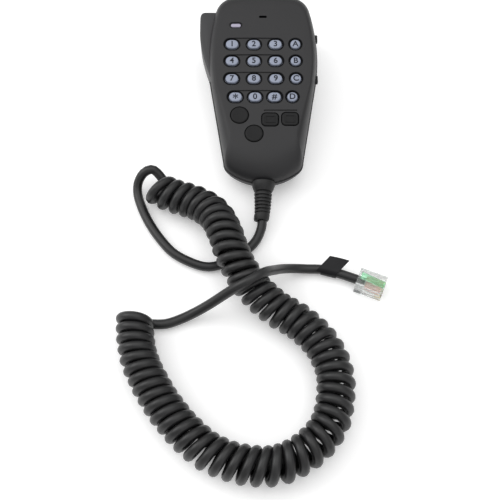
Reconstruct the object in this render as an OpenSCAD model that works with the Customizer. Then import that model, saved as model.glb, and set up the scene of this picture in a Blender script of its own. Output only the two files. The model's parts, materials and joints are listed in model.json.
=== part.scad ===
// Hand microphone with a sixteen-key pad, a talk lever, and a curly cord that ends in a modular plug.
// The case stands face up on the end of its cord side and on the hang-up button on its back.
// Case frame: x across, y from the cord end to the head, z out of the face, with the face at z = 0.

/* [Case] */
// Length of the case from the cord end to the head
case_len = 103; // [101:1:130]
// Width of the case at its widest
case_w = 54.8; // [50:0.2:70]
// Depth of the case at the cord end
tail_depth = 21; // [19:0.5:28]
// Angle between the face and the back, which makes the head deeper
wedge = 5; // [2:0.5:7]
// Depth of the front cover, from the face to the parting line
front_depth = 10; // [9.5:0.25:12]
// Wall of both covers
wall = 2; // [1.6:0.1:2.4]
// How far the front cover stands back from the rim of the rear cover
rim_step = 0.5; // [0:0.1:1]
// Radius of the rounding under the chin
tail_round = 27; // [24:1:34]

/* [Hang-up button] */
// Height of the button from the back
stud_h = 4.8; // [4:0.2:6]
// Diameter of its head
stud_head_d = 12; // [9:0.5:14]
// Diameter of its neck
stud_neck_d = 7; // [5:0.5:8]
// Thickness of its head
stud_head_h = 1.6; // [1.2:0.2:2.4]
// Distance of the button from the cord end
stud_y = 76; // [60:1:90]

/* [Keys] */
// Length of a number key
key_l = 6.4; // [5:0.2:7]
// Width of a number key
key_w = 4.9; // [4:0.1:5.6]
// Diameter of a letter key
letter_d = 5; // [4:0.1:5.6]
// Height of the keys above the face
key_proud = 0.7; // [0.3:0.1:1.2]
// Travel of every face key
key_travel = 0.8; // [0.4:0.1:1]
// Gap around each key in its hole
key_gap = 0.25; // [0.15:0.05:0.4]
// Depth of the recess around each row
recess = 0.5; // [0.2:0.1:0.8]
// Diameter of the two round function buttons
round_d = 8.5; // [7:0.1:9]
// Length of the two squarish function buttons
square_l = 7.9; // [6.5:0.1:8.6]
// Width of the two squarish function buttons
square_w = 6.7; // [5.6:0.1:7.4]

/* [Talk lever] */
// Length of the lever along the case
ptt_len = 37; // [32:1:42]
// How far its outer edge stands out from the case
ptt_proud = 4.2; // [3:0.2:6]
// Height of the lever along the depth of the case
ptt_h = 13; // [11:0.5:13]
// Angle that the lever turns when it is pressed
ptt_turn = 3.2; // [2:0.2:4]
// Diameter of the pin it turns on
pin_d = 2; // [1.6:0.1:2.4]
// Radial play of the lever on its pin
pin_play = 0.06; // [0.03:0.01:0.1]

/* [Slide switches] */
// Travel of each slider
slide_travel = 2.5; // [1.5:0.5:3]
// Length of a slider's knob
knob_l = 4; // [3:0.5:5]
// How far a knob stands out from the case
knob_proud = 0.6; // [0.4:0.1:1.6]

/* [Head keys] */
// Width of the up key and of the down key
head_key_w = 5.6; // [4.5:0.1:6.5]
// Height of both keys along the depth of the case
head_key_h = 5; // [4:0.1:5.2]
// How far both stand out of the head
head_key_proud = 1.6; // [1.2:0.1:2.4]

/* [Cord] */
// Diameter of the cable
cable_d = 4.5; // [4:0.1:5]
// Outer diameter of the curly part
coil_d = 16.8; // [16:0.2:17]
// Length of the strain relief outside the case
boot_len = 18; // [14:0.5:19]
// Angle that the strain relief droops by
boot_droop = 5; // [0:1:8]

/* [Plug] */
// Width of the modular plug
plug_w = 9.65; // [9.5:0.05:9.8]
// Length of the modular plug
plug_l = 12.8; // [12:0.1:13]
// Height of the modular plug without its latch
plug_h = 6.6; // [6.5:0.05:6.8]

/* [Hidden] */
$fn = 48;
slack = 0.1;          // gap between fixed pieces that sit in one another
half = case_w / 2;

// Rounding of the case: how far each side, the cord end and the head fall back, and over what depth
front_out_round = [3.4, 16, 8];
front_in_round = [1.5, 9.5, 5];
front_round_depth = 9;
back_side_round = 4;
back_end_round = 6;
back_round_depth = 5;
back_draft = 1.5;
rim_h = 1.2;
round_step = 30;

// Arcs of the outline
tail_end_angle = 52;
tail_corner_r = 7;
side_r = 100;
side_y = case_len - 35;     // place of the greatest width
head_corner_r = 12;
head_crown_r = 70;
head_lean = 2.7;
head_drop = 1.3;

// Stance on the table: the heel of the rear cover and the hang-up button both touch it
heel_y = back_draft + back_end_round;
lean = atan(stud_h / (stud_y - stud_head_d / 2 - heel_y));
tilt = wedge + lean;
reach_lo = front_depth * sin(tilt);
head_key_lo = 9.5;    // depth of the lower edge of the head keys
reach_hi = (case_len + head_key_proud) * cos(tilt) + head_key_lo * sin(tilt);
case_x = (ptt_proud - knob_proud) / 2;
case_y = -(reach_lo + reach_hi) / 2;
case_z = tail_depth * cos(tilt) - heel_y * sin(lean);

// Layers behind the face
flange_gap = 0.15;
flange_t = 0.7;
flange_out = 0.7;     // overhang of a key's flange past the key
flange_top = -wall - flange_gap;
flange_room = flange_gap + flange_t + key_travel + 0.3;   // depth kept free behind the face for the flanges
mat_top = -wall - flange_room;
stem_d = 3.2;
pocket_d = 4.2;
stem_end = mat_top - 0.35;
pocket_floor = stem_end - key_travel - 0.3;
mat_bottom = pocket_floor - 0.8;
board_top = mat_bottom;
board_t = 1.6;
board_bottom = board_top - board_t;

// Places of the keys: columns, rows, and how much each row is drawn in
col_x = [-15.2, -4.5, 6.1, 15.9];
pad_y = case_len - 32.7;     // place of the first row
row_y = [for (d = [0, 9.3, 19, 28.9]) pad_y - d];
row_draw = [1, 1, 1, 0.88];
left_at = [-11.4, pad_y - 38.7];
low_at = [-4.5, pad_y - 48.3];
mid_at = [3.2, pad_y - 41];
right_at = [12.7, pad_y - 40.7];
window_at = [-13.4, case_len - 22];
window_size = [5, 2];
mic_at = [0, case_len - 19.4];
slot_at = mic_at + [0, 2.2];
mic_d = 9.7;
mic_h = 6.7;
mic_boot_t = 1;
groove_at = [8.2, pad_y - 36.2];
groove_size = [16, 0.8];

// Fixings
post_at = [[10.5, 15.2], [-10.5, 15.2], [12, case_len - 13], [-12, case_len - 13]];
post_d = 5.6;
cover_screw_d = 2.2;
cover_head_d = 4.2;
cover_head_h = 1.6;
cover_screw_l = 9;
boss_at = [[8, row_y[0] + 7.3], [-7.6, row_y[0] + 7.1], [0.8, (row_y[2] + row_y[3]) / 2], [4.6, 14.4]];
boss_d = 3.4;
board_screw_d = 1.8;
board_head_d = 3.4;
board_head_h = 1.2;

// Talk lever
ptt_gap = 0.3;
ptt_reach = ptt_len * sin(ptt_turn) + 1;   // room behind the lever for its stroke
ptt_z = -12;          // middle of the lever's height
ptt_foot_y = case_len - 47.5;
pivot_at = [3.7 + wall - half, ptt_foot_y + 4];
pivot_r = 2;
pin_top = -3.6;
pin_bottom = -21.5;
ptt_inner_x = 2.5 + wall - half;
ptt_tip_x = 4.5 + wall - half;
ptt_switch_at = [ptt_tip_x + 5, ptt_foot_y + ptt_len - 13.5];
spring_r = 2.1;
spring_wire = 0.6;
spring_room = 3.2;    // height left for the spring under the lever's barrel

// Slide switches
slot_z = -8.2;
knob_h = 2;
lock_y = case_len - 25;
lamp_y = lock_y - 23;
switch_w = 4;
switch_l = 8;
switch_h = 3.3;
knob_in_x = half - 7.5;
switch_x = knob_in_x - 4.8;

// Head keys
head_key_x = -2;
head_key_gap = 0.5;
head_key_flange_y = 5.6;   // distance of the flange's outer face from the end of the case
head_travel = 0.8;     // travel of both head keys

// Strain relief
boot_yaw = 2;
boot_root_r = 5.5;
boot_rib_r = [4.2, 3.6];
boot_ribs = 6;
boot_root_len = 4;
boot_collar_len = 4;
boot_neck_r = 3.4;
boot_seat = 1;         // how far the root is let into the case
boot_lock_r = 4.4;
boot_lock_at = [9.5, 7.5];
tail_in = 11.2;       // how far the cable runs into the case
cable_r = cable_d / 2;
coil_r = coil_d / 2;

// Route of the lead from the strain relief to the coil
lead_mic_route = [
  [1, -69.9, 5.8], [0.3, -73.5, 4.6], [-1.9, -77.9, 3.1], [-6, -82.5, 2.4], [-12.5, -87, 2.3], [-19.5, -90.5, 2.3],
  [-26, -91, 2.3], [-34, -88, 2.3], [-41, -83.5, 2.3], [-47, -76.5, 2.3], [-52, -69, 2.3], [-56, -61, 2.3],
  [-58.5, -53, 2.4], [-58.6, -46.5, 3.6], [-55, -43.6, 6], [-50.5, -46.5, 8]
];
// Axis of the curly part
coil_route = [
  [-51.5, -50.5, 8.5], [-44, -55.5, 8.5], [-36, -58.5, 8.5], [-28, -62, 9], [-20.5, -69, 10.8], [-16, -79, 12.8],
  [-12.5, -90, 13.4], [-8, -99, 12.2], [-2, -107, 10.6], [7, -115, 9.2], [16, -120.5, 8.6], [23, -127, 8.5],
  [28, -134, 8.5], [31.5, -144, 8.5], [31.5, -154, 8.5], [29, -165, 8.5], [23.5, -173, 8.5], [16, -179, 8.5],
  [7, -183, 8.5], [-3, -183.5, 8.5], [-13, -181.5, 8.5], [-22, -177.5, 8.5], [-30, -171, 8.5], [-37, -163.5, 8.5],
  [-43, -155.5, 8.5], [-48, -147, 8.5], [-52, -138.5, 8.5], [-54.5, -128, 8.5], [-55.5, -116, 8.5]
];
// Route of the lead from the coil, over it, to the plug
lead_plug_route = [
  [-49, -121, 2.6], [-42, -119.5, 2.3], [-35.5, -117.3, 2.6], [-29, -114.8, 4.4], [-22.5, -112.6, 8.4],
  [-16, -110.5, 13.8], [-10, -108.8, 19], [-4.5, -107, 21.8], [-0.5, -104.2, 21.2], [2.8, -101.2, 18.3],
  [5.8, -98.3, 13.5], [10, -95, 8], [15.5, -93, 4.2], [22, -92.5, 2.7], [29, -92.8, 2.7], [36, -94.8, 2.9],
  [42, -97.2, 3.3], [48, -99.6, 3.3]
];
tag_from = lead_plug_route[14];
tag_to = lead_plug_route[15];
tag_wrap = 0.35;
tag_flag = [8.7, 7.6];
tag_lift = 30;
plug_at = [44.5, -98.2, 0];
plug_turn = atan2(-2.4, 6);

// ---------- shapes shared by several pieces ----------

function arc(x, y, r, from, to, n) =
  [for (i = [0:n]) let (a = from + (to - from) * i / n) [x + r * cos(a), y + r * sin(a)]];

// Right half of the outline, drawn in by a side, a tail and a head amount
function right_half(side, tail, head) = let (
  up = tail - side, down = head - side, corner_r = max(1, tail_corner_r - side),
  in_r = tail_round - side - corner_r) concat(
    arc(0, tail_round + up, tail_round - side, -85, -tail_end_angle, 3),
    arc(in_r * cos(tail_end_angle), tail_round - in_r * sin(tail_end_angle) + up,
        corner_r, 8 - tail_end_angle, 0, 3),
    arc(half - side_r, side_y - down, side_r - side, -9, 12, 3),
    arc(half - head_corner_r - head_lean, case_len - head_corner_r - head_drop - down,
        head_corner_r - side, 20, 76, 4),
    arc(0, case_len - head_crown_r - down, head_crown_r - side, 82, 87, 1));

function outline(side, tail, head) = let (right = right_half(side, tail, head))
  concat([for (p = right) [-p[0], p[1]]], [for (i = [len(right) - 1:-1:0]) right[i]]);
function level(amounts, z) = [for (p = outline(amounts[0], amounts[1], amounts[2])) [p[0], p[1], z]];
function back_level(amounts, z) = [for (p = outline(amounts[0], amounts[1], amounts[2]))
  [p[0], p[1] * cos(wedge) + z * sin(wedge), -tail_depth - p[1] * sin(wedge) + z * cos(wedge)]];

// Solid through a stack of rings that all have the same number of points
module skin(rings) {
  m = len(rings);
  n = len(rings[0]);
  walls = [for (i = [0:m - 2], k = [0:n - 1]) each let (a = i * n + k, b = i * n + (k + 1) % n)
    [[a, b, b + n], [a, b + n, a + n]]];
  polyhedron([for (r = rings) each r],
    concat([[for (k = [n - 1:-1:0]) k]], walls, [[for (k = [0:n - 1]) (m - 1) * n + k]]));
}

// Solid form of the front cover, drawn in all round by a thickness
module front_form(inset) {
  round_by = inset > 0 ? front_in_round : front_out_round;
  edge = (inset + rim_step) * [1, 1, 1];
  skin(concat([level(edge, -front_depth - inset)], [for (a = [0:round_step:90])
    level(edge + round_by * (1 - cos(a)), -inset - front_round_depth * (1 - sin(a)))]));
}

// Solid form of the rear cover
module rear_form(inset) {
  edge = (inset + back_draft) * [1, 1, 1];
  round_by = [back_side_round, back_end_round, back_end_round];
  skin(concat([for (a = [90:-round_step:0])
    back_level(edge + round_by * (1 - cos(a)), inset + back_round_depth * (1 - sin(a)))],
    [level(inset * [1, 1, 1], -front_depth - rim_h), level(inset * [1, 1, 1], -front_depth + inset)]));
}

module in_case() translate([case_x, case_y, case_z]) rotate([tilt, 0, 0]) children();
module in_back() translate([0, 0, -tail_depth]) rotate([-wedge, 0, 0]) children();
module in_boot() translate([0, 0, -front_depth]) rotate([0, 0, -boot_yaw]) rotate([90 + boot_droop, 0, 0]) children();
module in_plug() translate(plug_at) rotate([0, 0, plug_turn]) children();

// Depth of the back of the case below the face at a place along it
function back_z(y) = -tail_depth - y * tan(wedge);

module rod(at, d, from, to) translate([at[0], at[1], min(from, to)]) cylinder(d = d, h = abs(to - from));

module stadium(at, l, w, from, to) translate([at[0], at[1], min(from, to)]) {
  h = abs(to - from);
  if (l > w) {
    for (s = [-1, 1]) translate([s * (l - w) / 2, 0, 0]) cylinder(d = w, h = h);
    translate([-(l - w) / 2, -w / 2, 0]) cube([l - w, w, h]);
  } else cylinder(d = w, h = h);
}

module soft_square(at, l, w, r, from, to) translate([at[0], at[1], min(from, to)]) {
  h = abs(to - from);
  for (s = [-1, 1], t = [-1, 1]) translate([s * (l / 2 - r), t * (w / 2 - r), 0]) cylinder(r = r, h = h);
  translate([-l / 2, -w / 2 + r, 0]) cube([l, w - 2 * r, h]);
  translate([-l / 2 + r, -w / 2, 0]) cube([l - 2 * r, w, h]);
}

module block(x, y, z) translate([min(x), min(y), min(z)])
  cube([abs(x[1] - x[0]), abs(y[1] - y[0]), abs(z[1] - z[0])]);

// Tube swept along a route, with rings of n sides
function unit(v) = v / norm(v);
function heading(p, i) = unit(i == 0 ? p[1] - p[0] : i == len(p) - 1 ? p[i] - p[i - 1]
  : unit(p[i + 1] - p[i]) + unit(p[i] - p[i - 1]));
function ring(p, i, r, n) = let (t = heading(p, i), side = unit(cross(t, [0, 0, 1])), up = cross(side, t))
  [for (k = [0:n - 1]) let (a = -90 + 360 * k / n) p[i] + r * (cos(a) * side + sin(a) * up)];
module tube(p, r, n) skin([for (i = [0:len(p) - 1]) ring(p, i, r, n)]);

// ---------- keys ----------

function key_at(row, col) = [col_x[col] * row_draw[row], row_y[row]];

// Cut for a key: the hole itself, shaped as the key
module key_hole(row, col) {
  if (col < 3) stadium(key_at(row, col), key_l + 2 * key_gap, key_w + 2 * key_gap, 1, -wall - 1);
  else rod(key_at(row, col), letter_d + 2 * key_gap, 1, -wall - 1);
}

module key(row, col) color("lightsteelblue") in_case() {
  at = key_at(row, col);
  l = col < 3 ? key_l : letter_d;
  w = col < 3 ? key_w : letter_d;
  stadium(at, l, w, key_proud - recess, flange_top);
  stadium(at, l + 2 * flange_out, w + 2 * flange_out, flange_top, flange_top - flange_t);
  rod(at, stem_d, flange_top - flange_t, stem_end);
}

module round_button(at) color("#232325") in_case() {
  rod(at, round_d, key_proud, flange_top);
  rod(at, round_d + 2 * flange_out, flange_top, flange_top - flange_t);
  rod(at, stem_d, flange_top - flange_t, stem_end);
}

module square_button(at) color("#232325") in_case() {
  soft_square(at, square_l, square_w, 2, key_proud, flange_top);
  soft_square(at, square_l, square_w + 2 * flange_out, 2, flange_top, flange_top - flange_t);
  rod(at, stem_d, flange_top - flange_t, stem_end);
}

module head_key(side) color("#9aa0ad") in_case() {
  w = head_key_w;
  x = head_key_x + side * (w + head_key_gap) / 2;
  top = -head_key_lo + head_key_h;
  flange = case_len - head_key_flange_y;
  block([x - w / 2, x + w / 2], [flange, case_len + head_key_proud], [-head_key_lo, top]);
  block([x - w / 2 + (side < 0 ? -flange_out : 0), x + w / 2 + (side > 0 ? flange_out : 0)],
        [flange - flange_t, flange], [-head_key_lo, top]);
  translate([x, flange - flange_t, (top - head_key_lo) / 2]) rotate([90, 0, 0]) cylinder(d = 2.4, h = 0.7);
}

// ---------- case ----------

module ptt_window() block([-half - 5, ptt_tip_x + ptt_reach], [ptt_foot_y - ptt_gap, ptt_foot_y + ptt_len + ptt_gap],
  [ptt_z - ptt_h / 2 - ptt_gap, ptt_z + ptt_h / 2 + ptt_gap]);

module slider_slot(y) block([knob_in_x + 1, half + 2], [y - knob_l / 2 - ptt_gap, y + knob_l / 2 + slide_travel + ptt_gap],
  [slot_z - knob_h / 2 - key_gap, slot_z + knob_h / 2 + key_gap]);

module boot_passage() in_boot() {
  translate([0, 0, -6]) cylinder(r = boot_neck_r + slack, h = 14);
  translate([0, 0, -boot_seat - slack]) cylinder(r = boot_root_r + slack, h = 8);
}

module front_cover() color("#3c3c3f") in_case() difference() {
  union() {
    difference() {
      front_form(0);
      front_form(wall);
    }
    for (p = post_at) rod(p, post_d, -wall * 0.8, -front_depth);
    for (p = boss_at) rod(p, boss_d, -wall * 0.8, board_top);
    rod(mic_at, mic_d + 2 * mic_boot_t + 2.6, -wall * 0.8, -wall - 6);
    rod(pivot_at, 2 * pivot_r, -wall * 0.8, ptt_z + ptt_h / 2 + ptt_gap);
  }
  for (row = [0:3]) {
    for (col = [0:3]) key_hole(row, col);
    mid = (key_at(row, 0) + key_at(row, 2)) / 2;
    stadium(mid, key_at(row, 2)[0] - key_at(row, 0)[0] + key_l + 1.4, key_w + 1.4, 1, -recess);
    rod(key_at(row, 3), letter_d + 1.4, 1, -recess);
  }
  for (p = [left_at, low_at]) rod(p, round_d + 2 * key_gap, 1, -wall - 1);
  for (p = [mid_at, right_at]) soft_square(p, square_l + 2 * key_gap, square_w + 2 * key_gap, 2.2, 1, -wall - 1);
  for (p = [left_at, low_at]) rod(p, round_d + 2 * flange_out + 2 * key_gap, -wall, -wall - flange_room);
  for (p = [mid_at, right_at]) soft_square(p, square_l + 2 * key_gap, square_w + 2 * flange_out + 2 * key_gap, 2.2,
    -wall, -wall - flange_room);
  soft_square(groove_at, groove_size[0], groove_size[1], 0.39, 1, -recess);
  stadium(window_at, window_size[0] + 1, window_size[1] + 1, 1, -0.4);
  stadium(window_at, window_size[0], window_size[1], 1, -wall - 1);
  stadium(slot_at, 4, 1.3, 1, -wall - 0.2);
  rod(mic_at, mic_d + 2 * mic_boot_t, -wall - 0.2, -front_depth);
  for (p = post_at) rod(p, cover_screw_d, -front_depth - 1, -front_depth + cover_screw_l - 3);
  for (p = boss_at) rod(p, board_screw_d, board_top - 1, -wall - 0.6);
  rod(pivot_at, pin_d, pin_top, -8);
  ptt_window();
  slider_slot(lock_y);
  slider_slot(lamp_y);
  block([head_key_x - head_key_w - head_key_gap, head_key_x + head_key_w + head_key_gap],
        [case_len - 6, case_len + 3], [-head_key_lo - key_gap, -head_key_lo + head_key_h + key_gap]);
  boot_passage();
}

module rear_cover() color("#38383b") in_case() difference() {
  union() {
    difference() {
      rear_form(0);
      rear_form(wall);
    }
    for (p = post_at) rod(p, post_d + 0.8, -front_depth - slack, back_z(p[1]) + wall * 0.6);
    rod([0, stud_y], 9, back_z(stud_y) + wall + 3, back_z(stud_y) + wall * 0.6);
    rod(pivot_at, 2 * pivot_r + 0.6, ptt_z - ptt_h / 2 - 0.4, back_z(pivot_at[1]) + wall * 0.6);
  }
  for (p = post_at) {
    rod(p, cover_screw_d + 0.4, -front_depth + 1, back_z(p[1]) - 2);
    rod(p, cover_head_d + 0.4, back_z(p[1]) + wall + 2, back_z(p[1]) - 3);
  }
  in_back() rod([0, stud_y], 2.5, -2, wall + 4);
  rod(pivot_at, pin_d, -8, pin_bottom);
  ptt_window();
  boot_passage();
}

// ---------- fixings ----------

module cover_screws() color("#8c8c90") in_case() for (p = post_at) {
  seat = back_z(p[1]) + wall + 2;
  rod(p, cover_screw_d, seat, -front_depth + cover_screw_l - 3.2);
  difference() {
    rod(p, cover_head_d, seat, seat - cover_head_h);
    block([p[0] - 1.2, p[0] + 1.2], [p[1] - 0.3, p[1] + 0.3], [seat - cover_head_h - 1, seat - 0.9]);
    block([p[0] - 0.3, p[0] + 0.3], [p[1] - 1.2, p[1] + 1.2], [seat - cover_head_h - 1, seat - 0.9]);
  }
}

module hang_button() color("#b9bbc0") in_case() in_back() translate([0, stud_y, 0]) difference() {
  rotate_extrude() polygon([[0, 0], [stud_neck_d / 2, 0], [stud_neck_d / 2, -stud_h + stud_head_h + 0.6],
    [stud_head_d / 2, -stud_h + stud_head_h], [stud_head_d / 2, -stud_h + 0.5], [stud_head_d / 2 - 0.5, -stud_h],
    [0, -stud_h]]);
  translate([0, 0, -stud_h - 1]) cylinder(d = 2.5, h = stud_h + 2);
  translate([0, 0, -stud_h - 1]) cylinder(d = 5.2, h = 2.4);
}

module hang_button_screw() color("#8c8c90") in_case() in_back() translate([0, stud_y, 0]) difference() {
  union() {
    translate([0, 0, -stud_h + 1.4]) cylinder(d = 2.5, h = stud_h + wall + 1.6);
    translate([0, 0, -stud_h + 0.1]) cylinder(d = 4.8, h = 1.3);
  }
  for (turn = [0, 90]) rotate([0, 0, turn]) block([-1.4, 1.4], [-0.35, 0.35], [-stud_h, -stud_h + 0.8]);
}

// ---------- board and what is on it ----------

// Outline of the board and of the mat, drawn in by an amount
board_half = half - 8.9;
board_end = case_len - 20.5;
function board_outline(inset) = let (side = board_half - inset, tab = 7.2 - inset, lo = 18.6 + inset,
  foot = tail_round - 11.5 - inset, waist_y = pad_y - 25.3, hip_y = pad_y - 10.3) [
  [-tab, 11.6 + inset], [tab, 11.6 + inset], [tab, lo], [foot, lo], [side - 1, waist_y], [side, hip_y],
  [side, board_end - inset], [-side, board_end - inset], [-side, hip_y], [1 - side, waist_y], [-foot, lo], [-tab, lo]];

module main_board() color("#2f6b3a") in_case() difference() {
  translate([0, 0, board_bottom]) linear_extrude(board_t) polygon(board_outline(0));
  rod(mic_at, mic_d + 2 * mic_boot_t + 3.4, 0, -20);
  for (p = boss_at) rod(p, board_screw_d + 0.2, 0, -20);
}

module board_screws() color("#9a9a9e") in_case() for (p = boss_at) {
  rod(p, board_screw_d, board_bottom, -wall - 0.8);
  difference() {
    rod(p, board_head_d, board_bottom, board_bottom - board_head_h);
    block([p[0] - 1, p[0] + 1], [p[1] - 0.25, p[1] + 0.25], [board_bottom - 2, board_bottom - 0.7]);
  }
}

chip_y = pad_y - 14.8;
module tone_chip() color("#1d1d1f") in_case() {
  block([-5.5, 5.5], [chip_y - 3.5, chip_y + 3.5], [board_bottom, board_bottom - 2.2]);
  for (i = [-4:4], s = [-1, 1])
    block([i * 1.2 - 0.2, i * 1.2 + 0.2], [chip_y + s * 3.5, chip_y + s * 4.6], [board_bottom, board_bottom - 0.6]);
}

lamps_at = [for (row = [0, 1], x = [-9.9, 0.8, 11]) [x, (row_y[row] + row_y[row + 1]) / 2]];
module keypad_lamps() color("#e8f0d0") in_case()
  for (p = lamps_at) block([p[0] - 0.8, p[0] + 0.8], [p[1] - 0.5, p[1] + 0.5], [board_top, board_top + 0.7]);

module keypad_mat() color("#6d6f75") in_case() difference() {
  translate([0, 0, mat_bottom]) linear_extrude(mat_top - mat_bottom) polygon(board_outline(0.6));
  block([-half, half], [row_y[0] + 4.7, case_len], [0, -20]);
  for (row = [0:3], col = [0:3]) rod(key_at(row, col), pocket_d, 0, pocket_floor);
  for (p = [left_at, low_at, mid_at, right_at]) rod(p, pocket_d, 0, pocket_floor);
  for (p = boss_at) rod(p, boss_d + 0.4, 0, -20);
  for (p = lamps_at) block([p[0] - 1, p[0] + 1], [p[1] - 0.7, p[1] + 0.7], [board_top - 1, board_top + 0.9]);
}

module status_lamp() color("#f2f2ee") in_case()
  block([window_at[0] - 1.6, window_at[0] + 1.6], [window_at[1] - 0.8, window_at[1] + 0.8], [board_top, board_top + 1.2]);

module lamp_window() color("#c5c3d6") in_case() {
  stadium(window_at, window_size[0], window_size[1], -0.15, -wall);
  stadium(window_at, window_size[0] + 1.2, window_size[1] + 1.2, -wall, -wall - 0.7);
  stadium(window_at, window_size[0] - 1, window_size[1] - 0.4, -wall - 0.7, board_top + 1.3);
}

module mic_capsule() color("#b8babf") in_case() difference() {
  rod(mic_at, mic_d, -wall - 1.4, -wall - 1.4 - mic_h);
  for (a = [0:60:300]) rod(mic_at + 2 * [cos(a), sin(a)], 0.8, 0, -wall - 2);
}

module mic_boot() color("#26262a") in_case() difference() {
  rod(mic_at, mic_d + 2 * mic_boot_t, -wall - 0.2, -wall - 1.4 - mic_h);
  rod(mic_at, mic_d, -wall - 1.4, -30);
  rod(mic_at, 5.5, 0, -wall - 1.5);
}

wire_from = -wall - 1.4 - mic_h;
module mic_wires() color("#c23b32") in_case() for (s = [-1, 1])
  tube([[s * 1.3, mic_at[1] - 1, wire_from - slack], [s * 1.3, mic_at[1] - 1.1, wire_from - 1.2],
        [s * 1.5, mic_at[1] - 4, wire_from - 2.6], [s * 2, mic_at[1] - 8, wire_from - 2.2],
        [s * 2.2, mic_at[1] - 11.5, board_bottom - 1.2], [s * 2.2, mic_at[1] - 11.6, board_bottom - slack]], 0.5, 8);

module top_key_board() color("#2f6b3a") in_case()
  block([-8.4, 4.4], [case_len - 12, case_len - 10.8], [-3.6, -12]);

module top_key_switches() color("#2b2b2e") in_case() for (s = [-1, 1]) {
  x = head_key_x + s * (head_key_w + head_key_gap) / 2;
  block([x - 2.2, x + 2.2], [case_len - 10.8, case_len - 8], [-head_key_lo - 0.2, -head_key_lo + head_key_h]);
}

module slide_switch(y) color("#bfc1c6") in_case()
  block([switch_x, switch_x + switch_w], [y - 3.5, y - 3.5 + switch_l + 1.4], [board_bottom, board_bottom - switch_h]);
module lock_switch() slide_switch(lock_y - 4.5);
module lamp_switch() slide_switch(lamp_y);

module slider(y) color("#2b2b2e") in_case() {
  out = half - (side_r - sqrt(pow(side_r, 2) - pow(y - side_y, 2))) + knob_proud;
  block([knob_in_x, out], [y - knob_l / 2, y + knob_l / 2], [slot_z - knob_h / 2, slot_z + knob_h / 2]);
  block([knob_in_x, knob_in_x + 1.2], [y - knob_l / 2, y + knob_l / 2], [slot_z, board_bottom - switch_h]);
}
module lock_slider() slider(lock_y);
module lamp_slider() slider(lamp_y);

// ---------- talk lever ----------

// Outline of the lever: a bowed outer edge, a flat head end and a foot that runs into the case
ptt_out = -half - ptt_proud;
ptt_head_y = ptt_foot_y + ptt_len;
function ptt_edge() = [for (i = [0:8]) let (f = i / 8)
  [-half + 1 + (ptt_out + half - 1) * sin(90 * f), ptt_foot_y + 1 + f * (ptt_len - 12)]];

module ptt_lever() color("#343437") in_case() translate([0, 0, ptt_z]) difference() {
  union() {
    translate([0, 0, -ptt_h / 2]) linear_extrude(ptt_h) polygon(concat(
      [[ptt_tip_x, ptt_head_y], [ptt_inner_x, pivot_at[1]], [ptt_inner_x, ptt_foot_y]], ptt_edge(),
      [[ptt_out, ptt_head_y - 2], [ptt_out + 0.6, ptt_head_y - 0.6], [ptt_out + 2, ptt_head_y]]));
    translate([pivot_at[0], pivot_at[1], -ptt_h / 2]) cylinder(r = pivot_r, h = ptt_h);
    translate([ptt_inner_x + 0.2, ptt_foot_y + 15, -ptt_h / 2 - 1.2]) cube([1.2, ptt_len - 30, ptt_h + 2.4]);
  }
  translate([pivot_at[0], pivot_at[1], -ptt_h]) cylinder(d = pin_d + 2 * pin_play, h = 2 * ptt_h);
  translate([pivot_at[0], pivot_at[1], -ptt_h / 2 - 1]) cylinder(r = spring_r + 0.4, h = spring_room + 1);
}

module ptt_pivot_pin() color("#c4c6ca") in_case() rod(pivot_at, pin_d, pin_top - 0.2, pin_bottom + 0.3);

module ptt_switch() color("#2b2b2e") in_case()
  block([ptt_switch_at[0] - 1.8, ptt_switch_at[0] + 1.2], [ptt_switch_at[1] - 3, ptt_switch_at[1] + 3], [-9, -15]);

// Coil spring round the pin, with one leg behind the lever
module ptt_spring() color("#c4c6ca") in_case()
  translate([pivot_at[0], pivot_at[1], ptt_z - ptt_h / 2 + 0.3]) {
    difference() {
      cylinder(r = spring_r, h = 2.4);
      translate([0, 0, -1]) cylinder(r = spring_r - spring_wire, h = 5);
    }
    translate([spring_r - spring_wire / 2, 0, 1.2]) rotate([-90, 0, 0]) cylinder(d = spring_wire, h = 9);
  }

// ---------- cord ----------

// Strain relief: a locking flange inside the case, a neck, a flared root, ribs and an end collar
rib_pitch = (boot_len - boot_root_len - boot_collar_len) / boot_ribs;
function rib_r(i) = boot_rib_r[0] + (boot_rib_r[1] - boot_rib_r[0]) * i / boot_ribs;
function rib_profile() = [for (i = [0:boot_ribs - 1]) each let (z = boot_root_len + i * rib_pitch) [
  [rib_r(i) - 0.5, z], [rib_r(i) - 0.5, z + 0.3 * rib_pitch], [rib_r(i), z + 0.4 * rib_pitch],
  [rib_r(i), z + 0.9 * rib_pitch]]];
module cable_boot() color("#2c2c2e") in_case() in_boot() rotate_extrude() polygon(concat(
  [[cable_r + 0.02, -boot_lock_at[0]], [boot_lock_r, -boot_lock_at[0]], [boot_lock_r, -boot_lock_at[1]],
   [boot_neck_r, -boot_lock_at[1]], [boot_neck_r, -boot_seat], [boot_root_r, -boot_seat], [boot_root_r, 0.6],
   [boot_rib_r[0] + 0.2, boot_root_len - 0.4]],
  rib_profile(),
  [[boot_rib_r[1] - 0.2, boot_len - boot_collar_len], [boot_rib_r[1] + 0.1, boot_len - boot_collar_len + 0.4],
   [boot_rib_r[1], boot_len - 0.6], [boot_rib_r[1] - 0.5, boot_len], [cable_r + 0.02, boot_len]]));

module cable_tail() color("#222224") in_case() in_boot() translate([0, 0, -tail_in]) cylinder(r = cable_r, h = tail_in + boot_len);

module cable_clamp() color("#8c8c90") in_case() in_boot() difference() {
  translate([0, 0, -tail_in + 0.2]) cylinder(r = cable_r + 0.8, h = 1.3);
  translate([0, 0, -tail_in - 1]) cylinder(r = cable_r, h = 4);
}

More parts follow.
